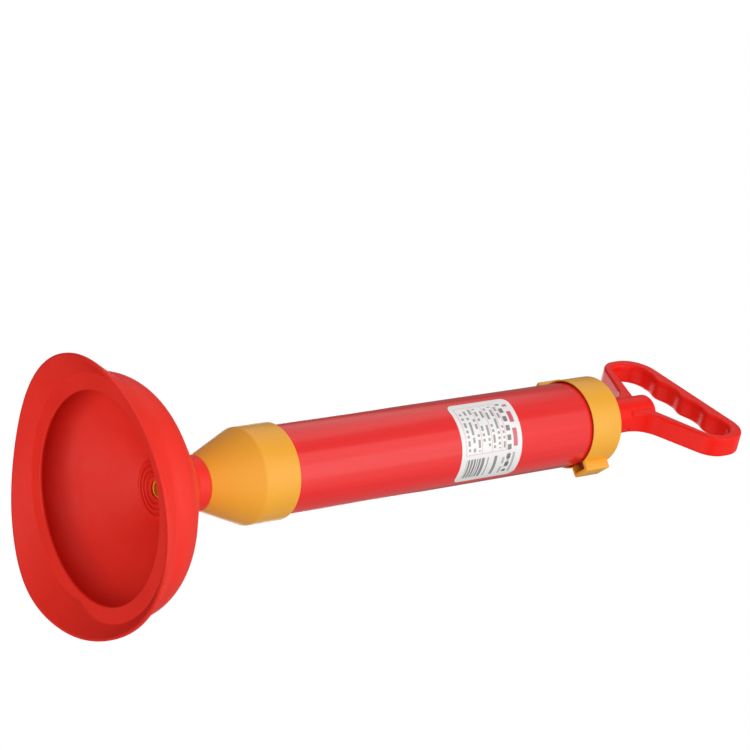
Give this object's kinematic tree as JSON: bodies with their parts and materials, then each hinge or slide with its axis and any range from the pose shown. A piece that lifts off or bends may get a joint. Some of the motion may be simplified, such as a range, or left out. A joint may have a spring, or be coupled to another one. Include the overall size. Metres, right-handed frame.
{
  "type": "pump toilet plunger",
  "caption": "Pump-type toilet plunger: a rubber suction cup with a flared lip on a conical socket, a long barrel, an end cap, and a sliding piston rod with a stirrup handle.",
  "frame": {"origin": "centre of the cup's mouth in the plane of the lip, where the plunger stands", "axes": "+Z along the barrel from the cup to the handle; the handle's bar runs along X and its flat sides face Y"},
  "size_m": [0.15, 0.15, 0.4425],
  "materials": {
    "cup_rubber": "satin",
    "yellow_plastic": "satin",
    "barrel_red": "gloss",
    "label_paper": "satin",
    "stud_red": "satin",
    "black_rubber": "matte",
    "ivory_plastic": "satin",
    "zinc_steel": "satin",
    "handle_red": "satin"
  },
  "bodies": {
    "barrel": {"suction_cup": "cup_rubber", "front_cone": "yellow_plastic", "cone_seal_ring": "black_rubber", "barrel": "barrel_red", "product_label": "label_paper", "lock_studs": "stud_red", "rear_cap": "yellow_plastic", "rod_guide_bush": "ivory_plastic", "stop_bumper": "black_rubber"},
    "piston": {"piston_front_plate": "ivory_plastic", "piston_seal": "black_rubber", "piston_rear_plate": "ivory_plastic"},
    "rod": {"piston_rod": "ivory_plastic", "rod_end_plug": "ivory_plastic", "piston_washer": "zinc_steel", "piston_spring_washer": "zinc_steel", "piston_screw": "zinc_steel", "handle": "handle_red", "handle_pin": "stud_red"}
  },
  "joints": [
    {"name": "pump_stroke", "type": "slide", "parent": "barrel", "child": "piston", "axis": [0, 0, 1], "range_m": [0, 0.2145]},
    {"name": "handle_swivel", "type": "hinge", "parent": "piston", "child": "rod", "pos_m": [0, 0, 0.12], "axis": [0, 0, 1], "continuous": true}
  ]
}
